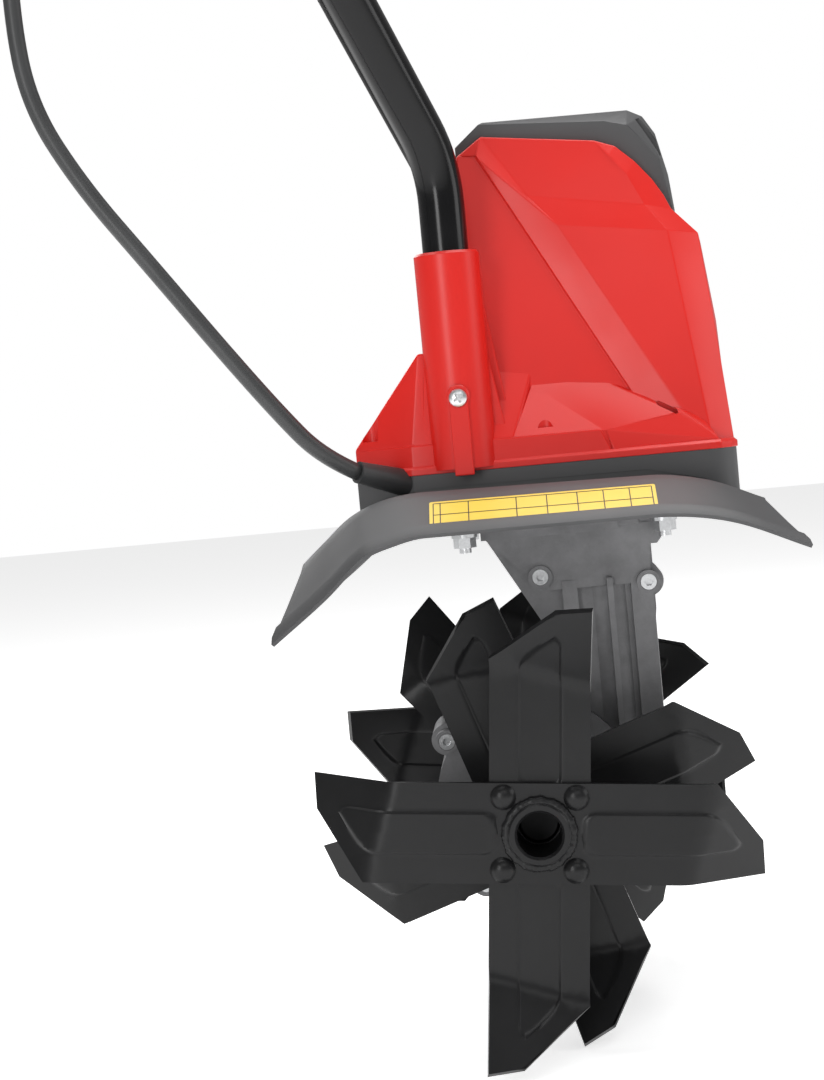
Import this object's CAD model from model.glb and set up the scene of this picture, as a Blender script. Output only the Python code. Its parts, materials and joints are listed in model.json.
import bpy
import bmesh
import json
import math
from mathutils import Matrix, Vector


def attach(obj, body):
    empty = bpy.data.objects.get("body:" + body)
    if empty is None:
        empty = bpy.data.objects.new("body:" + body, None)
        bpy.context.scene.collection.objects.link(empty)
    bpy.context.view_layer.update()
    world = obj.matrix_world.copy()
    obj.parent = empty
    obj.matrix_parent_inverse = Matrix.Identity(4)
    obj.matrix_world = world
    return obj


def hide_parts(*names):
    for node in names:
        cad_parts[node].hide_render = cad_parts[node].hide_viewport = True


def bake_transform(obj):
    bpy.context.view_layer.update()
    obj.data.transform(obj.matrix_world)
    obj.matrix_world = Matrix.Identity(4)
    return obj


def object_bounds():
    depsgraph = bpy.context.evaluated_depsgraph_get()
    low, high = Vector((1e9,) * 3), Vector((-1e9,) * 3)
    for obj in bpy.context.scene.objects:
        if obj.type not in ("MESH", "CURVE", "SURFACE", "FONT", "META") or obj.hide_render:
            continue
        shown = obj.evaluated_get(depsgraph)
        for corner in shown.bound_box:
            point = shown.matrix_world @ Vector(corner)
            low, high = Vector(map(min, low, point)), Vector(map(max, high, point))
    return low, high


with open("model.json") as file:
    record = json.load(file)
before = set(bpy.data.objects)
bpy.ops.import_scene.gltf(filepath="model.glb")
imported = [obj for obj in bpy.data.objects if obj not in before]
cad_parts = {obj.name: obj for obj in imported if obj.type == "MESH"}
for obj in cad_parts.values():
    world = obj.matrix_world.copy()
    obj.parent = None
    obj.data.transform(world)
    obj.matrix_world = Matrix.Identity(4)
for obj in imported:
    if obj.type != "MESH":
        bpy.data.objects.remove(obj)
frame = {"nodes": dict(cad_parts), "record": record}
CAD_BOX = [list(corner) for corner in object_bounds()]
NODES = frame["nodes"]
MM = 0.001

# ------------------------------------------------------------------ view
LEAN_BACK = math.radians(5.3)       # the camera sees the machine leaning back this much
CAMERA_AT = Vector((-0.0083, -1.230, 0.1964))
CAMERA_PAN = math.radians(2.65)
CAMERA_TILT = math.radians(3.15)
SENSOR = 36.0
LENS = 79.67


# Soft boxes as (name, place, point it faces, size, power).
LIGHTS = (
    ("top", (0.0, 0.15, 2.1), (0.0, 0.0, 0.1), (2.2, 1.6), 46),
    ("left", (-0.82, -2.05, 0.50), (0.02, -0.05, 0.24), (0.5, 1.0), 11),
    ("front", (0.5, -2.3, 1.6), (0, 0, 0.2), (1.6, 0.9), 7),
    ("right", (2.1, -0.3, 0.9), (0, 0, 0.15), (0.9, 1.2), 8),
    ("back", (-0.9, 1.6, 1.1), (0, 0, 0.2), (1.2, 1.0), 12),
)
WORLD_LIGHT = 0.30
FLOOR_HALF = 6.0
FLOOR_GAP = 0.0005


def add_camera():
    camera = bpy.data.objects.new("camera", bpy.data.cameras.new("camera"))
    camera.data.sensor_fit = "VERTICAL"
    camera.data.sensor_height = SENSOR
    camera.data.lens = LENS
    camera.data.clip_end = 50
    lean = Matrix.Rotation(LEAN_BACK, 4, "Y")
    aim = Matrix.Rotation(CAMERA_PAN, 4, "Z") @ Matrix.Rotation(math.pi / 2 - CAMERA_TILT, 4, "X")
    camera.matrix_world = lean @ Matrix.Translation(CAMERA_AT) @ aim
    bpy.context.collection.objects.link(camera)
    bpy.context.scene.camera = camera


def add_light(name, place, target, size, power):
    data = bpy.data.lights.new(name, "AREA")
    data.shape = "RECTANGLE"
    data.size, data.size_y = size
    data.energy = power
    lamp = bpy.data.objects.new(name, data)
    lamp.location = place
    lamp.rotation_euler = (Vector(target) - Vector(place)).to_track_quat("-Z", "Y").to_euler()
    bpy.context.collection.objects.link(lamp)


def add_world():
    """White all round to the camera, dimmer as a light."""
    world = bpy.data.worlds.new("studio")
    bpy.context.scene.world = world
    world.use_nodes = True
    nodes, links = world.node_tree.nodes, world.node_tree.links
    nodes.clear()
    seen, lit = nodes.new("ShaderNodeBackground"), nodes.new("ShaderNodeBackground")
    seen.inputs["Color"].default_value = (1, 1, 1, 1)
    seen.inputs["Strength"].default_value = 1.0
    lit.inputs["Color"].default_value = (1, 1, 1, 1)
    lit.inputs["Strength"].default_value = WORLD_LIGHT
    path, mix = nodes.new("ShaderNodeLightPath"), nodes.new("ShaderNodeMixShader")
    out = nodes.new("ShaderNodeOutputWorld")
    links.new(path.outputs["Is Camera Ray"], mix.inputs["Fac"])
    links.new(lit.outputs[0], mix.inputs[1])
    links.new(seen.outputs[0], mix.inputs[2])
    links.new(mix.outputs[0], out.inputs["Surface"])


def add_floor():
    """Pale floor just under the tines."""
    floor_z = CAD_BOX[0][2] - FLOOR_GAP
    mesh = bpy.data.meshes.new("floor")
    half = FLOOR_HALF
    corners = [(-half, -half, floor_z), (half, -half, floor_z), (half, half, floor_z), (-half, half, floor_z)]
    mesh.from_pydata(corners, [], [(0, 1, 2, 3)])
    floor = bpy.data.objects.new("floor", mesh)
    bpy.context.collection.objects.link(floor)
    material = bpy.data.materials.new("floor")
    material.use_nodes = True
    shader = material.node_tree.nodes["Principled BSDF"]
    shader.inputs["Base Color"].default_value = (0.93, 0.93, 0.93, 1)
    shader.inputs["Roughness"].default_value = 0.9
    shader.inputs["Emission Color"].default_value = (1, 1, 1, 1)
    shader.inputs["Emission Strength"].default_value = 0.55
    mesh.materials.append(material)


# ------------------------------------------------------------------ materials
def new_material(name):
    material = bpy.data.materials.new(name)
    material.use_nodes = True
    return material, material.node_tree.nodes, material.node_tree.links


def object_coordinates(nodes):
    return nodes.new("ShaderNodeTexCoord").outputs["Object"]


def noise(nodes, links, scale, detail=3.0, rough=0.5):
    texture = nodes.new("ShaderNodeTexNoise")
    texture.inputs["Scale"].default_value = scale
    texture.inputs["Detail"].default_value = detail
    texture.inputs["Roughness"].default_value = rough
    links.new(object_coordinates(nodes), texture.inputs["Vector"])
    return texture.outputs["Fac"]


def ramp(nodes, links, value, stops):
    """Colour ramp of (position, colour) stops, driven by value."""
    node = nodes.new("ShaderNodeValToRGB")
    elements = node.color_ramp.elements
    while len(elements) < len(stops):
        elements.new(0.5)
    for element, (place, colour) in zip(elements, stops):
        element.position = place
        element.color = (*colour, 1) if len(colour) == 3 else colour
    links.new(value, node.inputs["Fac"])
    return node.outputs["Color"]


def between(nodes, links, value, low, high):
    """Map 0..1 to low..high."""
    node = nodes.new("ShaderNodeMapRange")
    node.inputs["To Min"].default_value = low
    node.inputs["To Max"].default_value = high
    links.new(value, node.inputs["Value"])
    return node.outputs["Result"]


def bump(nodes, links, height, strength, distance, below=None):
    node = nodes.new("ShaderNodeBump")
    node.inputs["Strength"].default_value = strength
    node.inputs["Distance"].default_value = distance
    links.new(height, node.inputs["Height"])
    if below is not None:
        links.new(below, node.inputs["Normal"])
    return node.outputs["Normal"]


def shade(colour, factor):
    return tuple(c * factor for c in colour)


def moulded_plastic(name, colour, roughness, grain=2200.0, grain_depth=0.00003, sheen=0.5):
    """Moulded plastic: fine spark-eroded grain, faint flow marks in colour and gloss."""
    material, nodes, links = new_material(name)
    shader = nodes["Principled BSDF"]
    clouds = noise(nodes, links, 9.0, 4.0)
    links.new(
        ramp(nodes, links, clouds, ((0.3, shade(colour, 0.93)), (0.7, shade(colour, 1.05)))),
        shader.inputs["Base Color"],
    )
    links.new(
        between(nodes, links, noise(nodes, links, 40.0, 5.0), roughness - 0.05, roughness + 0.07),
        shader.inputs["Roughness"],
    )
    links.new(
        bump(nodes, links, noise(nodes, links, grain, 2.0), 0.35, grain_depth),
        shader.inputs["Normal"],
    )
    shader.inputs["Specular IOR Level"].default_value = sheen
    return material


def painted_steel(name, colour, roughness, peel=160.0, peel_depth=0.00006, sheen=0.5):
    """Powder coat or stove enamel: orange peel, dust specks, a little wear in the gloss."""
    material, nodes, links = new_material(name)
    shader = nodes["Principled BSDF"]
    patches = noise(nodes, links, 22.0, 6.0, 0.6)
    links.new(
        ramp(nodes, links, patches, ((0.3, shade(colour, 0.8)), (0.75, shade(colour, 1.3)))),
        shader.inputs["Base Color"],
    )
    links.new(between(nodes, links, patches, roughness - 0.07, roughness + 0.1), shader.inputs["Roughness"])
    skin = bump(nodes, links, noise(nodes, links, peel, 3.0), 0.5, peel_depth)
    links.new(
        bump(nodes, links, noise(nodes, links, 900.0, 2.0), 0.25, 0.00003, skin),
        shader.inputs["Normal"],
    )
    shader.inputs["Specular IOR Level"].default_value = sheen
    return material


def bare_metal(name, colour, roughness, scratch=(4000.0, 60.0, 60.0), depth=0.00002):
    """Machined or plated metal with fine tool marks."""
    material, nodes, links = new_material(name)
    shader = nodes["Principled BSDF"]
    shader.inputs["Metallic"].default_value = 1.0
    stretch = nodes.new("ShaderNodeMapping")
    stretch.inputs["Scale"].default_value = scratch
    links.new(object_coordinates(nodes), stretch.inputs["Vector"])
    marks = nodes.new("ShaderNodeTexNoise")
    marks.inputs["Scale"].default_value = 1.0
    marks.inputs["Detail"].default_value = 4.0
    links.new(stretch.outputs["Vector"], marks.inputs["Vector"])
    links.new(
        ramp(nodes, links, marks.outputs["Fac"], ((0.3, shade(colour, 0.85)), (0.7, colour))),
        shader.inputs["Base Color"],
    )
    gloss = between(nodes, links, marks.outputs["Fac"], roughness - 0.06, roughness + 0.1)
    links.new(gloss, shader.inputs["Roughness"])
    links.new(bump(nodes, links, marks.outputs["Fac"], 0.3, depth), shader.inputs["Normal"])
    return material


def cast_alloy(name, colour):
    """Sand-like die-cast skin: grainy, with darker blotches."""
    material, nodes, links = new_material(name)
    shader = nodes["Principled BSDF"]
    shader.inputs["Metallic"].default_value = 0.75
    blotches = noise(nodes, links, 35.0, 8.0, 0.65)
    links.new(
        ramp(nodes, links, blotches, ((0.3, shade(colour, 0.72)), (0.7, shade(colour, 1.2)))),
        shader.inputs["Base Color"],
    )
    links.new(between(nodes, links, noise(nodes, links, 120.0, 4.0), 0.42, 0.62), shader.inputs["Roughness"])
    coarse = bump(nodes, links, noise(nodes, links, 260.0, 5.0, 0.6), 0.35, 0.0002)
    links.new(
        bump(nodes, links, noise(nodes, links, 1500.0, 3.0), 0.3, 0.00008, coarse),
        shader.inputs["Normal"],
    )
    return material


def rubber(name, colour, roughness=0.6):
    """Matt rubber or foam with a fine skin."""
    material, nodes, links = new_material(name)
    shader = nodes["Principled BSDF"]
    clouds = noise(nodes, links, 30.0, 4.0)
    links.new(
        ramp(nodes, links, clouds, ((0.3, shade(colour, 0.85)), (0.7, shade(colour, 1.2)))),
        shader.inputs["Base Color"],
    )
    gloss = between(nodes, links, noise(nodes, links, 90.0, 3.0), roughness - 0.08, roughness + 0.08)
    links.new(gloss, shader.inputs["Roughness"])
    links.new(bump(nodes, links, noise(nodes, links, 1300.0, 3.0), 0.3, 0.00005), shader.inputs["Normal"])
    return material


MATERIALS = {
    "tine_black": painted_steel("tine_black", (0.009, 0.009, 0.0095), 0.30, sheen=0.26),
    "shaft_steel": bare_metal("shaft_steel", (0.03, 0.03, 0.031), 0.5),
    "zinc": bare_metal("zinc", (0.72, 0.73, 0.74), 0.3, (900.0, 900.0, 900.0)),
    "cast_alloy": cast_alloy("cast_alloy", (0.215, 0.215, 0.22)),
    "gasket": moulded_plastic("gasket", (0.10, 0.09, 0.07), 0.8),
    "black_plastic": moulded_plastic("black_plastic", (0.062, 0.062, 0.064), 0.45),
    "red_plastic": moulded_plastic("red_plastic", (0.66, 0.015, 0.010), 0.33, 1500.0, 0.00004, 0.38),
    "print_black": moulded_plastic("print_black", (0.04, 0.035, 0.02), 0.4),
    "label": moulded_plastic("label", (0.86, 0.62, 0.08), 0.3, 900.0, 0.00001),
    "tube_black": painted_steel("tube_black", (0.004, 0.004, 0.0045), 0.16, 120.0, 0.00003, 0.3),
    "foam": rubber("foam", (0.02, 0.02, 0.021), 0.85),
    "cord": rubber("cord", (0.036, 0.037, 0.038), 0.42),
    "copper": bare_metal("copper", (0.72, 0.3, 0.14), 0.3, (300.0, 300.0, 3000.0)),
    "laminate": bare_metal("laminate", (0.3, 0.3, 0.32), 0.4, (60.0, 60.0, 4000.0)),
    "bronze": bare_metal("bronze", (0.66, 0.42, 0.16), 0.3),
    "carbon": moulded_plastic("carbon", (0.03, 0.03, 0.03), 0.5),
}


def dress(piece, material):
    piece.data.materials.clear()
    piece.data.materials.append(MATERIALS[material])


def dress_frame():
    """Every CAD node takes the material of its slot in the record."""
    for part in frame["record"]["subparts"]:
        dress(NODES[part["node"]], part["material_slot"])


# ------------------------------------------------------------------ cord
FOLD_AT = Vector((-0.1732, -0.150, 0.665))
CORD_EXIT = (-0.0705, -0.1015, 0.1735)
CORD_DIAMETER = 0.008
CORD_ROUTE = (
    CORD_EXIT,
    (-0.086, -0.111, 0.1825),
    (-0.104, -0.117, 0.205),
    (-0.128, -0.120, 0.238),
    (-0.156, -0.122, 0.278),
    (-0.184, -0.123, 0.317),
    (-0.205, -0.123, 0.357),
    (-0.209, -0.124, 0.401),
    (-0.2055, -0.125, 0.452),
    (-0.1985, -0.127, 0.503),
    (-0.1895, -0.131, 0.553),
    (-0.179, -0.139, 0.603),
    tuple(FOLD_AT),
    (-0.1968, -0.186, 0.7188),
    (-0.2157, -0.186, 0.7619),
    (-0.2270, -0.146, 0.7875),
    (-0.2298, -0.100, 0.7940),
    (-0.2350, -0.058, 0.8060),
    (-0.2459, -0.027, 0.8305),
    (-0.2615, -0.025, 0.8662),
)


def smooth_line(points):
    """Points along the NURBS spline that these control points shape."""
    curve = bpy.data.curves.new("line", "CURVE")
    curve.dimensions = "3D"
    spline = curve.splines.new("NURBS")
    spline.points.add(len(points) - 1)
    for at, point in zip(spline.points, points):
        at.co = (*point, 1)
    spline.order_u = 3
    spline.use_endpoint_u = True
    spline.resolution_u = 10
    holder = bpy.data.objects.new("line", curve)
    line = [v.co.copy() for v in bpy.data.meshes.new_from_object(holder).vertices]
    bpy.data.objects.remove(holder)
    return line


def tube_mesh(name, line, radius_at, sides=20, closed_ends=True):
    """Tube about a line of points; radius_at gives the radius at a share of its length."""
    vertices, faces = [], []
    along = (line[1] - line[0]).normalized()
    across = along.orthogonal().normalized()
    for i, at in enumerate(line):
        before, after = line[max(i - 1, 0)], line[min(i + 1, len(line) - 1)]
        new_along = (after - before).normalized()
        across = (along.rotation_difference(new_along) @ across).normalized()
        along = new_along
        other = along.cross(across)
        radius = radius_at(i / (len(line) - 1))
        for s in range(sides):
            turn = 2 * math.pi * s / sides
            vertices.append(at + radius * (math.cos(turn) * across + math.sin(turn) * other))
    for i in range(len(line) - 1):
        for s in range(sides):
            a, b = i * sides + s, i * sides + (s + 1) % sides
            faces.append((a, b, b + sides, a + sides))
    if closed_ends:
        faces.append(tuple(reversed(range(sides))))
        faces.append(tuple(range(len(vertices) - sides, len(vertices))))
    mesh = bpy.data.meshes.new(name)
    mesh.from_pydata(vertices, [], faces)
    mesh.shade_smooth()
    piece = bpy.data.objects.new(name, mesh)
    bpy.context.collection.objects.link(piece)
    return piece


def add_cord():
    """One cord from the gland, past the fold, to the switch box."""
    line = smooth_line(CORD_ROUTE)
    piece = tube_mesh("mains_cord", line, lambda share: CORD_DIAMETER / 2)
    dress(piece, "cord")
    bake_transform(piece)
    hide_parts("cord_lower", "cord_upper")


# ------------------------------------------------------------------ mesh helpers
def vec(x, y, z):
    """Point given in millimetres."""
    return Vector((x, y, z)) * MM


def link(name, mesh):
    piece = bpy.data.objects.new(name, mesh)
    bpy.context.collection.objects.link(piece)
    return piece


def finish_mesh(bm, name, bevel=0.0, crease=18.0, segments=2):
    """Round the creases of a closed bmesh and turn it into an object."""
    bmesh.ops.recalc_face_normals(bm, faces=bm.faces)
    if bevel:
        sharp = [e for e in bm.edges if e.is_manifold and e.calc_face_angle() > math.radians(crease)]
        bmesh.ops.bevel(
            bm,
            geom=sharp,
            offset=bevel * MM,
            segments=segments,
            affect="EDGES",
            profile=0.5,
            clamp_overlap=True,
        )
    mesh = bpy.data.meshes.new(name)
    bm.to_mesh(mesh)
    bm.free()
    return link(name, mesh)


def hull(name, points, bevel=0.8, crease=18.0):
    """Convex solid about points in millimetres."""
    bm = bmesh.new()
    corners = [bm.verts.new(vec(*p)) for p in points]
    grown = bmesh.ops.convex_hull(bm, input=corners)
    inside = [g for g in grown["geom_interior"] if isinstance(g, bmesh.types.BMVert)]
    bmesh.ops.delete(bm, geom=inside, context="VERTS")
    bmesh.ops.dissolve_limit(bm, angle_limit=math.radians(0.7), verts=bm.verts, edges=bm.edges)
    return finish_mesh(bm, name, bevel, crease)


def both_sides(points):
    """The points and their mirror images, on both sides of the middle."""
    return [(x, sign * w, z) for x, w, z in points for sign in (-1, 1)]


def lathe(name, profile, centre, axis, sides=64):
    """Closed solid of revolution; profile is (distance along axis, radius) in millimetres, a closed loop."""
    axis = Vector(axis).normalized()
    across = axis.orthogonal().normalized()
    other = axis.cross(across)
    bm = bmesh.new()
    rings = []
    for s in range(sides):
        turn = 2 * math.pi * s / sides
        out = math.cos(turn) * across + math.sin(turn) * other
        ring = [vec(*centre) + (axis * along + out * radius) * MM for along, radius in profile]
        rings.append([bm.verts.new(at) for at in ring])
    for s in range(sides):
        here, there = rings[s], rings[(s + 1) % sides]
        for k in range(len(profile)):
            n = (k + 1) % len(profile)
            bm.faces.new((here[k], here[n], there[n], there[k]))
    bmesh.ops.remove_doubles(bm, verts=bm.verts, dist=0.001 * MM)
    return finish_mesh(bm, name)


def rod(name, centre, axis, radius, start, end, sides=48, chamfer=0.0):
    """Cylinder along axis between two distances from centre."""
    profile = [(start, 0.0), (start, radius - chamfer), (start + chamfer, radius)]
    profile += [(end - chamfer, radius), (end, radius - chamfer), (end, 0.0)]
    if not chamfer:
        profile = [(start, 0.0), (start, radius), (end, radius), (end, 0.0)]
    return lathe(name, profile, centre, axis, sides)


def combine(base, others, operation):
    """Boolean of base with the others, which are used up."""
    for other in others:
        step = base.modifiers.new("step", "BOOLEAN")
        step.object = other
        step.operation = operation
        step.solver = "EXACT"
    bpy.context.view_layer.update()
    seen = base.evaluated_get(bpy.context.evaluated_depsgraph_get())
    made = bpy.data.meshes.new_from_object(seen)
    base.modifiers.clear()
    base.data = made
    for other in others:
        bpy.data.objects.remove(other)
    return base


def soften(piece, angle=11.0):
    """Shade smooth, but keep edges sharper than the angle in degrees."""
    piece.data.shade_smooth()
    piece.data.set_sharp_from_angle(angle=math.radians(angle))


def settle(piece, body, material, *nodes):
    """Dress a finished piece, hang it on its body and let it stand for its CAD nodes."""
    dress(piece, material)
    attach(piece, body)
    if nodes:
        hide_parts(*nodes)
    return piece


# ------------------------------------------------------------------ motor cover
# Corners of the hood's right half as (x, half width, z); the left half is its mirror image.
HOOD = {
    "T0": (-11.5, 53, 321.5),
    "T1": (1, 50, 330.5),
    "T2": (56, 50, 323.5),
    "T3": (66, 50, 319.8),
    "T4": (75, 50.5, 311.4),
    "T5": (82.7, 51, 301.9),
    "T6": (87.5, 52, 293.8),
    "T7": (90.5, 53, 286.7),
    "G1": (62.6, 53.4, 315.4),
    "G2": (70.2, 56.4, 305),
    "G3": (77.5, 59.2, 289.3),
    "D1": (21.2, 58.2, 299),
    "D2": (34.6, 64.5, 283),
    "E1": (87, 65.8, 275.5),
    "F1": (102.3, 56, 273.5),
    "F2": (105.8, 62, 233),
    "F3": (109.5, 77.5, 170.5),
    "E2": (99, 82.5, 170.5),
    "B2": (96.5, 83.6, 170.5),
    "B1": (78.1, 79.6, 170.5),
    "B0": (-2.2, 54.4, 321),
    "A0": (-2.2, 53, 321),
    "A1": (78.1, 77.5, 170.5),
    "A2": (-11.5, 77.5, 170.5),
    "T8": (93.5, 0, 286.7),
    "F4": (107.5, 0, 272),
    "F5": (112, 0, 232),
    "F6": (114.5, 0, 170.5),
}
HOOD_SIDE = (
    "T0 A2 A1 A0",
    "T0 A0 B0 T1",
    "A0 A1 B1 B0",
    "B0 B1 B2 D2",
    "B0 D2 D1 T1",
    "T1 D1 G3 G2 G1 T2",
    "D1 D2 E1 G3",
    "D2 B2 E2 E1",
    "E1 E2 F3 F2 F1",
    "T2 G1 T3",
    "T3 G1 G2 T4",
    "T4 G2 G3 T6 T5",
    "G3 T7 T6",
    "G3 E1 F1 T7",
    "T7 F1 F4 T8",
    "F1 F2 F5 F4",
    "F2 F3 F6 F5",
)
HOOD_ACROSS = ("T0 T1", "T1 T2", "T2 T3", "T3 T4", "T4 T5", "T5 T6", "A2 T0")


def hood_solid():
    bm = bmesh.new()
    right = {k: bm.verts.new(vec(x, -w, z)) for k, (x, w, z) in HOOD.items()}
    left = {k: right[k] if w == 0 else bm.verts.new(vec(x, w, z)) for k, (x, w, z) in HOOD.items()}
    for face in HOOD_SIDE:
        keys = face.split()
        bm.faces.new([right[k] for k in keys])
        bm.faces.new([left[k] for k in reversed(keys)])
    for pair in HOOD_ACROSS:
        a, b = pair.split()
        bm.faces.new((right[a], right[b], left[b], left[a]))
    bm.faces.new((right["T6"], right["T7"], right["T8"], left["T7"], left["T6"]))
    under = ("A2", "A1", "B1", "B2", "E2", "F3")
    bm.faces.new([right[k] for k in under] + [right["F6"]] + [left[k] for k in reversed(under)])
    return finish_mesh(bm, "hood", 0.6, 6.0)


def apron_plan(inset, z):
    """Plan of the motor base: chamfered at the rear, rounded at the front."""
    return [
        (-73 + inset, 74 - inset * 0.6, z),
        (-45 + inset * 0.4, 92 - inset, z),
        (96, 92 - inset, z),
        (102, 90.6 - inset, z),
        (106.6 - inset * 0.7, 86.8 - inset * 0.7, z),
        (109.4 - inset, 82, z),
        (110 - inset, 77, z),
    ]


# Lip round the foot of the cover as (inset from the plan, z).
LIP_LEVELS = ((-0.9, 169.1), (-0.9, 172.0), (0.8, 173.4))
# Corners of the skirt's convex parts as (x, half width, z).
APRON = (
    (-72.6, 73.6, 183.4),
    (-44.5, 91.2, 183.4),
    (46.0, 91.2, 183.2),
    (50.2, 91.4, 173),
    (50.2, 91.4, 170.4),
    (-72.6, 73.8, 170.4),
    (-44.8, 91.4, 170.4),
)
REAR_SLOPE = (
    (-72.6, 73.6, 183.6),
    (-44.3, 90.6, 183.6),
    (-38, 86, 226.8),
    (-28, 86, 226.8),
    (-20, 90.6, 183.6),
    (-72.6, 73.6, 175),
    (-20, 90.6, 175),
)
STEEP_SHELF = (
    (-30, 60, 235),
    (21, 60, 229),
    (4, 88.4, 185.4),
    (-30, 88.8, 186),
    (4, 90.6, 182),
    (-30, 90.6, 182),
    (-30, 60, 172),
    (21, 60, 172),
    (4, 90.6, 172),
    (-30, 90.6, 172),
)
LOW_SHELF = (
    (22, 60, 222),
    (18, 72, 206.5),
    (4.6, 88.6, 184.6),
    (49, 71, 202.2),
    (60.3, 75.8, 198.8),
    (71, 77, 195.6),
    (81.7, 84, 187.6),
    (48, 90.4, 182.6),
    (4, 90.6, 182.4),
    (81, 60, 188),
    (4, 90.4, 172),
    (48, 90.4, 172),
    (81, 60, 172),
    (22, 60, 172),
    (81, 84, 172),
)
FRONT_SHELF = (
    (60, 70, 196.5),
    (81.9, 83.4, 188),
    (84, 82, 189.6),
    (89, 81, 187.4),
    (95, 80.6, 183.4),
    (99, 84, 178.4),
    (101.4, 88.6, 173.6),
    (48.4, 90.6, 182.4),
    (51.4, 91.6, 173.2),
    (51.4, 91.6, 171),
    (101.4, 88.8, 171),
    (99, 62, 171),
    (60, 62, 171),
)


def skirt_solids():
    """The sloping shelves and the stepped apron round the foot of the hood."""
    lip = [corner for inset, z in LIP_LEVELS for corner in apron_plan(inset, z)]
    solids = [hull("lip", both_sides(lip), 0.3), hull("apron", both_sides(APRON), 0.7)]
    shelves = (("rear", REAR_SLOPE), ("steep", STEEP_SHELF), ("low", LOW_SHELF), ("front", FRONT_SHELF))
    for name, points in shelves:
        solids.append(hull(name, both_sides(points), 0.9, 8.0))
    return solids


# Outline of the drain slot at the foot of the hood.
SLOT = ((73.6, 193.6), (75, 194.2), (83.2, 189.2), (83.6, 187.6), (82.4, 187), (74.2, 191.9))


SOCKET_X, SOCKET_Y = -20.0, 85.0
STRAP_SCREW_Z = 204
SOCKET_BARREL = (
    (170.6, 0),
    (170.6, 15.8),
    (190, 15.7),
    (230, 15.4),
    (272.4, 15.6),
    (273.6, 14.6),
    (273.6, 0),
)
# Socket ribs as top x and z, foot x far from and near the barrel, foot z, inner y, outer y at top and foot.
SOCKET_RIBS = (
    (-34.6, 226, -39.8, -31, 181, 82, 88, 90),
    (-4.4, 222, 2.2, -9, 182, 83, 86, 86),
    (-4.8, 250, 4.4, -9, 186, 76, 79, 79),
)
STRAP_X = (-24.6, -15.4)
STRAP_SECTION = ((102.2, 204), (96, 204), (102.2, 167.4), (92.6, 167.4))


def socket_solids(side):
    """Handle socket with its ribs, screw boss and the strap under the screw."""
    solids = [lathe("barrel", SOCKET_BARREL, (SOCKET_X, side * SOCKET_Y, 0), (0, 0, 1), 72)]
    for top_x, top_z, far_x, near_x, foot_z, y_inside, y_top, y_foot in SOCKET_RIBS:
        rib = [(top_x, y, top_z) for y in (y_inside, y_top)]
        rib += [(x, y, foot_z) for x in (far_x, near_x) for y in (y_inside, y_foot)]
        solids.append(hull("rib", [(x, side * y, z) for x, y, z in rib], 0.5))
    strap = [(x, side * y, z) for x in STRAP_X for y, z in STRAP_SECTION]
    solids.append(hull("strap", strap, 0.6))
    solids.append(rod("boss", (SOCKET_X, 0, STRAP_SCREW_Z + 1), (0, side, 0), 5.4, 94, 102.3, 40, 0.5))
    return solids


# Hollows of the cover as (x, half width, z).
HOOD_HOLLOW = (
    (-8, 47, 316),
    (50, 46, 316),
    (70, 46, 302),
    (84, 48, 280),
    (98, 50, 268),
    (105, 66, 168),
    (-8, 72, 168),
)
TRAY_HOLLOW = (
    (-69, 71, 168),
    (-69, 71, 179.5),
    (-44, 87, 168),
    (-44, 87, 179.5),
    (40, 87, 168),
    (40, 87, 179.5),
)
REAR_HOLLOW = (
    (-69, 68, 168),
    (-69, 68, 182),
    (-40, 70, 219),
    (-10, 70, 219),
    (-10, 70, 168),
)


def add_cover():
    """Red motor cover; gives back a copy of the bare hood for the cap to fit over."""
    cover = hood_solid()
    hood_copy = link("hood_copy", cover.data.copy())
    combine(cover, skirt_solids(), "UNION")
    hollows = (("hollow", HOOD_HOLLOW), ("tray", TRAY_HOLLOW), ("rear", REAR_HOLLOW))
    combine(cover, [hull(name, both_sides(points), 0) for name, points in hollows], "DIFFERENCE")
    for side in (-1, 1):
        combine(cover, socket_solids(side), "UNION")
        cuts = [
            rod("bore", (SOCKET_X, side * SOCKET_Y, 0), (0, 0, 1), 11.1, 176, 280),
            rod("tap", (SOCKET_X, 0, STRAP_SCREW_Z), (0, side, 0), 2.2, 69, 110, 24),
            rod("well", (-64.5, side * 77, 0), (0, 0, 1), 4.5, 187, 235, 32),
            rod("well", (19.8, side * 88.6, 0), (0, 0, 1), 3.8, 186.4, 230, 32),
            hull("slot", [(x, side * y, z) for y in (76, 92) for x, z in SLOT], 0),
        ]
        combine(cover, cuts, "DIFFERENCE")
    cover.name = "cover_shell"
    soften(cover)
    settle(cover, "root", "red_plastic", "motor_cover")
    return hood_copy


# Vent cap: lower edge on each side, ridge on each side, and the foot, as (x, half width, z).
CAP_SIDE = (
    (-12, 45, 326.8),
    (0.5, 45, 337.2),
    (62, 45, 333),
    (73, 45, 330),
    (80.5, 44, 322),
    (87.5, 44, 312),
    (92, 44.5, 287.5),
)
CAP_RIDGE = (
    (2, 22, 340.6),
    (74.9, 22, 339.8),
    (82.2, 22, 336),
    (87.8, 22, 327),
    (92.6, 22, 306),
    (94.4, 22, 288),
)
CAP_FOOT = ((-12, 45, 312), (91.5, 44.5, 283), (94, 22, 283))
CAP_WALL = 3.2
SLATS, SLAT_PITCH, SLAT_GAP = 5, 6.4, 3.2
LOUVRE = ((78, 334), (81, 335), (90.6, 318), (88.6, 314))


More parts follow.
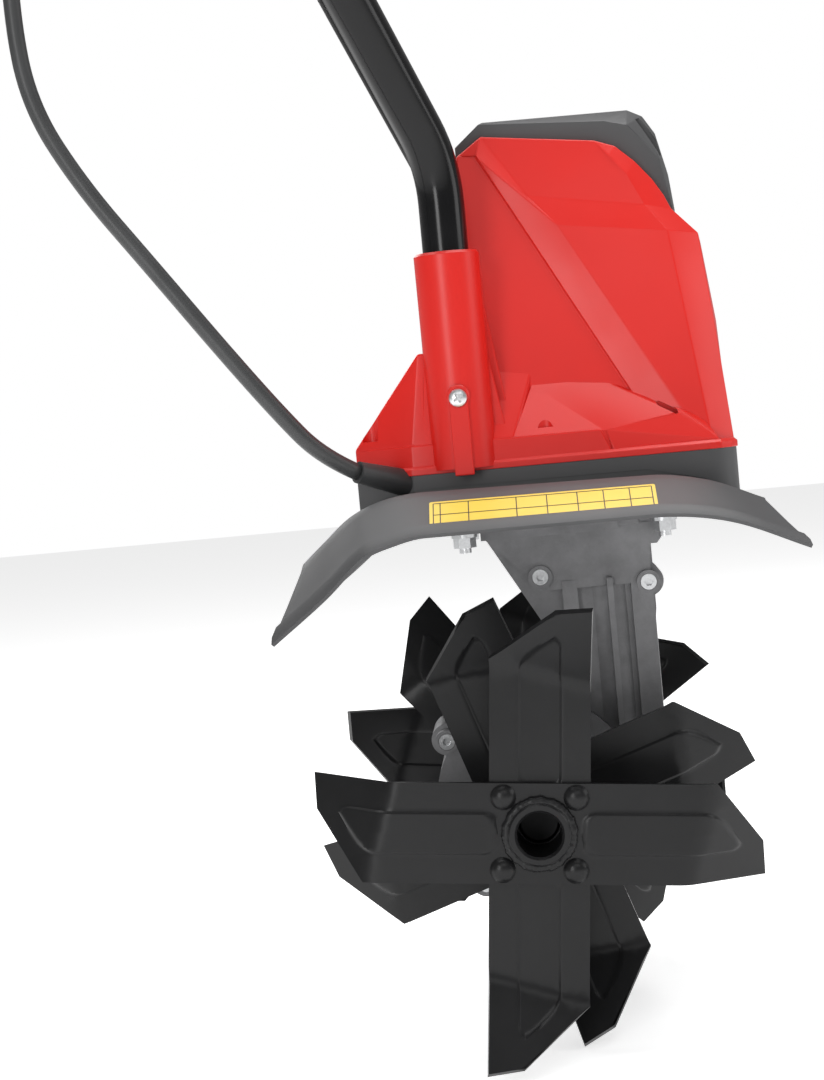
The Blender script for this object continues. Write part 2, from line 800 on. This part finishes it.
def add_cap(hood_copy):
    """Black vent cap with slats at the front and a louvre on each shoulder."""
    outside = CAP_SIDE + CAP_RIDGE + CAP_FOOT
    cap = hull("cap", both_sides(outside), 1.4, 9.0)
    within = [(x * 0.93 + 2.5, w - CAP_WALL, z - 4) for x, w, z in outside]
    cuts = [hood_copy, hull("within", both_sides(within), 0)]
    for slat in range(SLATS):
        z = 292 + SLAT_PITCH * slat
        slot = [(x, sign * 17, z + rise) for x in (70, 110) for sign in (-1, 1) for rise in (0, SLAT_GAP)]
        cuts.append(hull("slot", slot, 0))
    for side in (-1, 1):
        cuts.append(hull("louvre", [(x, side * y, z) for y in (27, 41) for x, z in LOUVRE], 0))
    combine(cap, cuts, "DIFFERENCE")
    cap.name = "cap_shell"
    soften(cap, 22)
    settle(cap, "root", "black_plastic", "vent_cap")


# Socket screw as (y, radius) from its tip to the top of its head.
SCREW_PROFILE = (
    (71, 0),
    (71, 2.1),
    (102.35, 2.1),
    (102.35, 4.2),
    (103.0, 4.4),
    (103.8, 4.0),
    (104.4, 3.0),
    (104.7, 1.5),
    (104.8, 0),
)
RECESS_Y = (103.0, 106)


def add_socket_screws():
    """Pan-head screws with a cross recess in the two strap bosses."""
    bm = bmesh.new()
    for side in (-1, 1):
        screw = lathe("screw", SCREW_PROFILE, (SOCKET_X, 0, STRAP_SCREW_Z), (0, side, 0), 40)
        turn = Matrix.Translation(vec(SOCKET_X, 0, STRAP_SCREW_Z)) @ Matrix.Rotation(0.5 * side, 4, "Y")
        cross = []
        for half_x, half_z in ((0.62, 2.4), (2.4, 0.62)):
            slab = [(x, side * y, z) for x in (-half_x, half_x) for z in (-half_z, half_z) for y in RECESS_Y]
            cross.append(hull("cross", slab, 0))
            cross[-1].data.transform(turn)
        combine(screw, cross, "DIFFERENCE")
        bm.from_mesh(screw.data)
        bpy.data.objects.remove(screw)
    screws = finish_mesh(bm, "strap_screws")
    soften(screws, 28)
    settle(screws, "root", "zinc", "socket_screws")


# ------------------------------------------------------------------ guard
# Guard from rear to front: (x, z) of the crease between top and flank, then (x, z) of the lip.
GUARD_STATIONS = (
    ((-98, 132.5), (-113.5, 100)),
    ((-87, 142), (-88, 119)),
    ((-74, 152.5), (-68, 136)),
    ((-59, 158.6), (-54, 141)),
    ((-40, 160.8), (-40, 143.5)),
    ((66, 159.2), (66, 143.5)),
    ((92, 154.6), (99, 138.5)),
    ((117, 144), (134, 123.5)),
)
GUARD_STEPS = 8
STRAIGHT_LEG = 4                       # the flat deck, from the fifth station to the sixth
DECK_BOLTS = ((-25, 36), (75, 36))
WORM_HOLE_X, WORM_HOLE_R = 45, 20
# Outer skin of the guard from the middle to the lip: (share of the way from crease to lip, y, rise).
GUARD_SKIN = (
    (0, 0, 0),
    (0, 60, 0),
    (0, 116.5, 0),
    (0, 117.6, 0.9),
    (0, 119.6, 1.1),
    (0.02, 122.0, 0.5),
    (0.10, 125.2, 0.3),
    (0.5, 137.0, 0),
    (0.78, 145.3, 0),
    (0.8, 146.2, 1.2),
    (0.93, 149.8, 1.2),
    (1.0, 151.9, 0),
)


def rounded(points, straight_leg):
    """Points along a rounded line through the given ones; one leg stays straight."""
    points = [Vector(p) for p in points]
    line = []
    for i in range(len(points) - 1):
        a, b = points[i], points[i + 1]
        before, after = points[max(i - 1, 0)], points[min(i + 2, len(points) - 1)]
        reach = (b - a).length / 3
        c1, c2 = a + (b - before).normalized() * reach, b - (after - a).normalized() * reach
        if i == straight_leg:
            c1, c2 = a + (b - a) / 3, b - (b - a) / 3
        for k in range(GUARD_STEPS):
            t = k / GUARD_STEPS
            u = 1 - t
            line.append(u * u * u * a + 3 * u * u * t * c1 + 3 * u * t * t * c2 + t * t * t * b)
    return line + [points[-1]]


def add_guard():
    """Splash guard, one moulding with a flat deck and sloping flanks."""
    creases = rounded([crease for crease, lip in GUARD_STATIONS], STRAIGHT_LEG)
    lips = rounded([lip for crease, lip in GUARD_STATIONS], STRAIGHT_LEG)
    rings = []
    for i in range(len(creases)):
        (cx, cz), (lx, lz) = creases[i], lips[i]
        ahead = creases[min(i + 1, len(creases) - 1)] - creases[max(i - 1, 0)]
        up = Vector((-ahead[1], ahead[0])).normalized()
        outer, inner = [], []
        for share, y, rise in GUARD_SKIN:
            x, z = cx + (lx - cx) * share, cz + (lz - cz) * share
            outer.append((x + up[0] * rise, y, z + up[1] * rise))
            back, aside = (1.6, 1.6) if share >= 0.05 else (2.6, 0.6 if y > 100 else 0)
            inner.append((x - up[0] * back, y - aside, z - up[1] * back))
        far_outer, far_inner = ([(x, -y, z) for x, y, z in skin[1:]] for skin in (outer, inner))
        rings.append(far_outer[::-1] + outer + inner[::-1] + far_inner)
    bm = bmesh.new()
    grid = [[bm.verts.new(vec(*p)) for p in ring] for ring in rings]
    for a, b in zip(grid, grid[1:]):
        for k in range(len(a)):
            n = (k + 1) % len(a)
            bm.faces.new((a[k], a[n], b[n], b[k]))
    bm.faces.new(grid[0])
    bm.faces.new(list(reversed(grid[-1])))
    guard = finish_mesh(bm, "guard_shell")
    cuts = [rod("worm", (WORM_HOLE_X, 0, 0), (0, 0, 1), WORM_HOLE_R, 140, 190)]
    for x, y in DECK_BOLTS:
        for side in (-1, 1):
            cuts.append(rod("bolt", (x, side * y, 0), (0, 0, 1), 3.3, 140, 190, 24))
    combine(guard, cuts, "DIFFERENCE")
    soften(guard, 24)
    settle(guard, "root", "black_plastic", "guard")


def add_base_foot():
    """Foot of the motor base, let down to the guard's deck."""
    foot = hull("base_foot", both_sides(apron_plan(0.5, 157.9) + apron_plan(0.5, 164)), 0.2)
    combine(foot, [hull("within", both_sides(apron_plan(4, 150) + apron_plan(4, 170)), 0)], "DIFFERENCE")
    soften(foot)
    settle(foot, "root", "black_plastic")


def add_lug_web():
    """Casting webs that close the step between the gearbox flange and its front lug, one on each side."""
    near, far = (
        hull("web", [(x, side * y, z) for x in (50.5, 63) for y in (24, 27.2) for z in (133.4, 143)], 0.5)
        for side in (-1, 1)
    )
    combine(near, [far], "UNION")
    near.name = "lug_webs"
    soften(near)
    settle(near, "root", "cast_alloy")


LABEL_HALF_LENGTH, LABEL_HALF_HEIGHT = 52, 11.75
LABEL_COLUMNS = (-47, -34, -12, 2, 16, 28, 40)


def add_label():
    """Plain yellow sticker, printed with empty boxes only."""
    normal = Vector((0, -16.4, 29.7)).normalized()
    along = Vector((1, 0, -0.008)).normalized()
    up = normal.cross(along).normalized()
    up = up if up.z > 0 else -up
    centre = Vector((15.0, -139.0, 150.85))

    def plate(bm, u0, u1, v0, v1, low, high):
        corners = []
        for n in (low, high):
            for u, v in ((u0, v0), (u1, v0), (u1, v1), (u0, v1)):
                corners.append(bm.verts.new((centre + along * u + up * v + normal * n) * MM))
        for face in ((3, 2, 1, 0), (4, 5, 6, 7), (0, 1, 5, 4), (1, 2, 6, 5), (2, 3, 7, 6), (3, 0, 4, 7)):
            bm.faces.new([corners[k] for k in face])

    bm = bmesh.new()
    plate(bm, -LABEL_HALF_LENGTH, LABEL_HALF_LENGTH, -LABEL_HALF_HEIGHT, LABEL_HALF_HEIGHT, 0, 0.3)
    upright = [e for e in bm.edges if abs((e.verts[1].co - e.verts[0].co).normalized().dot(normal)) > 0.99]
    bmesh.ops.bevel(bm, geom=upright, offset=1.2 * MM, segments=4, affect="EDGES", profile=0.5)
    sticker = finish_mesh(bm, "label_sheet")
    settle(sticker, "root", "label", "warning_label")
    bm = bmesh.new()
    for u in LABEL_COLUMNS:
        plate(bm, u - 0.25, u + 0.25, -9.8, 9.8, 0.31, 0.36)
    for v in (-10, 0, 10):
        plate(bm, -50, 50, v - 0.25, v + 0.25, 0.36, 0.41)
    for u in (-50.2, 50.2):
        plate(bm, u - 0.25, u + 0.25, -10.25, 10.25, 0.31, 0.36)
    lines = finish_mesh(bm, "label_lines")
    dress(lines, "print_black")
    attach(lines, "root")


# ------------------------------------------------------------------ tines
TINE_THICK = 3.0
BEND_AT = 75.0
BEND_SKEW = math.radians(15.5)
BEND_ANGLE = math.radians(40)
BEND_R = 13.0
# Stars as (CAD node, y of the plane between the two strips, turn in degrees).
STARS = (
    ("tine_star_right_outer", -130, -5.3),
    ("tine_star_right_inner", -75, 18.7),
    ("tine_star_left_inner", 75, 40.5),
    ("tine_star_left_outer", 130, -7.0),
)


def arm_end(v):
    """How far out the arm's edge is, at v across it."""
    if v < -6.7:
        return 105.5 + (-6.7 - v) / 18.0 * 1.7
    return 105.5 - (v + 6.7) / 30.2 * 23.4


def bent(q):
    """Height and slope of the bent sheet, q millimetres past the bend line."""
    start = -BEND_R * math.tan(BEND_ANGLE / 2)
    end = -start * math.cos(BEND_ANGLE)
    if q <= start:
        return 0.0, 0.0
    if q >= end:
        return q * math.tan(BEND_ANGLE), math.tan(BEND_ANGLE)
    run = q - start
    height = math.sqrt(BEND_R**2 - run**2)
    return BEND_R - height, run / height


def ease(t):
    t = min(max(t, 0.0), 1.0)
    return t * t * (3 - 2 * t)


def pressing(u, v):
    """Depth of the stiffening channel pressed along the arm."""
    beyond = 26 - u if u < 40 else max(u - (arm_end(v) - 17), 0.0)
    inside = 5.6 - math.hypot(max(abs(v) - 4.0, 0.0), max(beyond, 0.0))
    return 1.0 * ease((inside + 0.8) / 1.6)


def arm_point(u, v, depth):
    """Point on the strip, depth from its outer face."""
    q = (u - BEND_AT) * math.cos(BEND_SKEW) - v * math.sin(BEND_SKEW)
    height, slope = bent(q)
    lean = Vector((-slope * math.cos(BEND_SKEW), 1.0, slope * math.sin(BEND_SKEW))).normalized()
    return Vector((u, height, v)) + lean * (depth - pressing(u, v))


ARM_HALF_V = (0.8, 4, 6.7, 7.6, 8.4, 8.9, 9.3, 9.7, 10.1, 10.6, 12, 17, 22.9, 23.5)
ARM_V = tuple(-v for v in reversed(ARM_HALF_V)) + ARM_HALF_V
ARM_ROWS = 78


def strip_mesh():
    """One strip with two arms as a closed bmesh, its outer face on y = 0."""
    bm = bmesh.new()
    rows = []
    for r in range(-ARM_ROWS, ARM_ROWS + 1):
        share = abs(r) / ARM_ROWS
        sign = -1 if r < 0 else 1
        outer, inner = [], []
        for v in ARM_V:
            u = share * arm_end(sign * v)
            for depth, skin in ((0.0, outer), (TINE_THICK, inner)):
                at = arm_point(u, sign * v, depth)
                skin.append(bm.verts.new(Vector((sign * at.x, at.y, sign * at.z)) * MM))
        rows.append(outer + inner[::-1])
    for a, b in zip(rows, rows[1:]):
        for k in range(len(a)):
            n = (k + 1) % len(a)
            bm.faces.new((a[k], a[n], b[n], b[k]))
    bm.faces.new(rows[0])
    bm.faces.new(rows[-1])
    return bm


def add_star(node, plane, turn):
    """Two crossed strips; a turn is measured up from +X, seen from the right."""
    side = -1 if plane < 0 else 1
    mirror = Matrix.Scale(-1, 4, (0, 1, 0)) if side > 0 else Matrix.Identity(4)
    spin = Matrix.Rotation(math.radians(-turn), 4, "Y")
    flip = Matrix.Scale(-1, 4, (0, 1, 0)) @ Matrix.Rotation(math.radians(-90), 4, "Y")
    face = abs(plane)
    strips = []
    for name, place in (
        ("across", Matrix.Translation(vec(0, -face - TINE_THICK, 0))),
        ("upright", Matrix.Translation(vec(0, -face + TINE_THICK, 0)) @ flip),
    ):
        bm = strip_mesh()
        bmesh.ops.transform(bm, matrix=mirror @ spin @ place, verts=bm.verts)
        strip = finish_mesh(bm, name)
        combine(strip, [rod("hole", (0, 0, 0), (0, 1, 0), 14.8, plane - 12, plane + 12, 64)], "DIFFERENCE")
        strips.append(strip)
    star = strips[0]
    star.name = node.replace("tine_star", "tines")
    bm = bmesh.new()
    for strip in strips:
        bm.from_mesh(strip.data)
    bm.to_mesh(star.data)
    bm.free()
    bpy.data.objects.remove(strips[1])
    soften(star, 26)
    settle(star, "tines", "tine_black", node)


RIVET_AT = 17
# Rivet as (y from the star's plane, radius), from the inner dome to the outer one.
RIVET_PROFILE = (
    (-6.4, 0),
    (-6.3, 2),
    (-5.6, 4),
    (-4.4, 5.0),
    (-3, 5.2),
    (-3, 3),
    (3, 3),
    (3, 5.9),
    (3.5, 6.0),
    (4.3, 5.3),
    (5.4, 4.4),
    (6.1, 3),
    (6.5, 1.4),
    (6.6, 0),
)


def add_rivets():
    """Domed heads on both sides of each star."""
    bm = bmesh.new()
    for plane, turn in (star[1:] for star in STARS):
        side = -1 if plane < 0 else 1
        spin = Matrix.Rotation(math.radians(-turn), 4, "Y")
        profile = [(abs(plane) + along, radius) for along, radius in RIVET_PROFILE]
        for x in (-RIVET_AT, RIVET_AT):
            for z in (-RIVET_AT, RIVET_AT):
                at = spin @ Vector((x, 0, z))
                rivet = lathe("rivet", profile, (at.x, 0, at.z), (0, side, 0), 28)
                bm.from_mesh(rivet.data)
                bpy.data.objects.remove(rivet)
    rivets = finish_mesh(bm, "rivet_heads")
    soften(rivets, 30)
    settle(rivets, "tines", "tine_black", "tine_rivets")


# Hub tube as (y, radius).
HUB_PROFILE = (
    (42, 10.05),
    (42, 16.4),
    (42.8, 17.2),
    (67.2, 17.2),
    (68, 14.6),
    (136.2, 14.6),
    (137, 13.8),
    (137, 11.6),
    (135.6, 10.5),
    (101, 10.5),
    (101, 10.05),
)
CROSS_PIN_Y = 58
WELDS_AT = (79.2, 134.2, 70.8, 125.8)
BEAD_STEPS, BEAD_SIDES = 150, 10


def ripple(turn, seed):
    """Unevenness of a hand-laid weld bead."""
    slow = math.sin(9 * turn + seed) * 0.5
    return slow + math.sin(23 * turn + 2.3 * seed) * 0.35 + math.sin(41 * turn + seed) * 0.3


def bead_ring(turn, side, y, seed):
    """One cross-section of a weld bead round the hub."""
    fat = 2.35 + 0.34 * ripple(turn, seed + side)
    radius = 15.3 + 0.34 * ripple(turn * 2, seed)
    ring = []
    for k in range(BEAD_SIDES):
        a = 2 * math.pi * k / BEAD_SIDES
        r = radius + fat * math.cos(a)
        ring.append(vec(r * math.cos(turn), side * (y + 0.72 * fat * math.sin(a)), r * math.sin(turn)))
    return ring


def add_hub(side, node):
    """Hub tube, open at its outer end, with uneven weld beads at the stars."""
    hub = lathe("hub", HUB_PROFILE, (0, 0, 0), (0, side, 0), 72)
    combine(hub, [rod("pin", (0, side * CROSS_PIN_Y, 0), (1, 0, 0), 3.05, -30, 30, 24)], "DIFFERENCE")
    bm = bmesh.new()
    bm.from_mesh(hub.data)
    bpy.data.objects.remove(hub)
    hub = finish_mesh(bm, node + "_tube")
    soften(hub, 24)
    settle(hub, "tines", "tine_black", node)
    beads = bmesh.new()
    for seed, y in enumerate(WELDS_AT):
        rings = []
        for step in range(BEAD_STEPS):
            ring = bead_ring(2 * math.pi * step / BEAD_STEPS, side, y, seed)
            rings.append([beads.verts.new(at) for at in ring])
        for step in range(BEAD_STEPS):
            here, there = rings[step], rings[(step + 1) % BEAD_STEPS]
            for k in range(BEAD_SIDES):
                n = (k + 1) % BEAD_SIDES
                beads.faces.new((here[k], here[n], there[n], there[k]))
    beads = finish_mesh(beads, node + "_welds")
    beads.data.shade_smooth()
    settle(beads, "tines", "tine_black")


add_camera()
add_world()
add_floor()
for light in LIGHTS:
    add_light(*light)
bpy.context.scene.view_settings.view_transform = "Standard"
dress_frame()
add_cord()
add_cap(add_cover())
add_socket_screws()
add_guard()
add_base_foot()
add_lug_web()
add_label()
for star in STARS:
    add_star(*star)
add_rivets()
add_hub(-1, "hub_right")
add_hub(1, "hub_left")
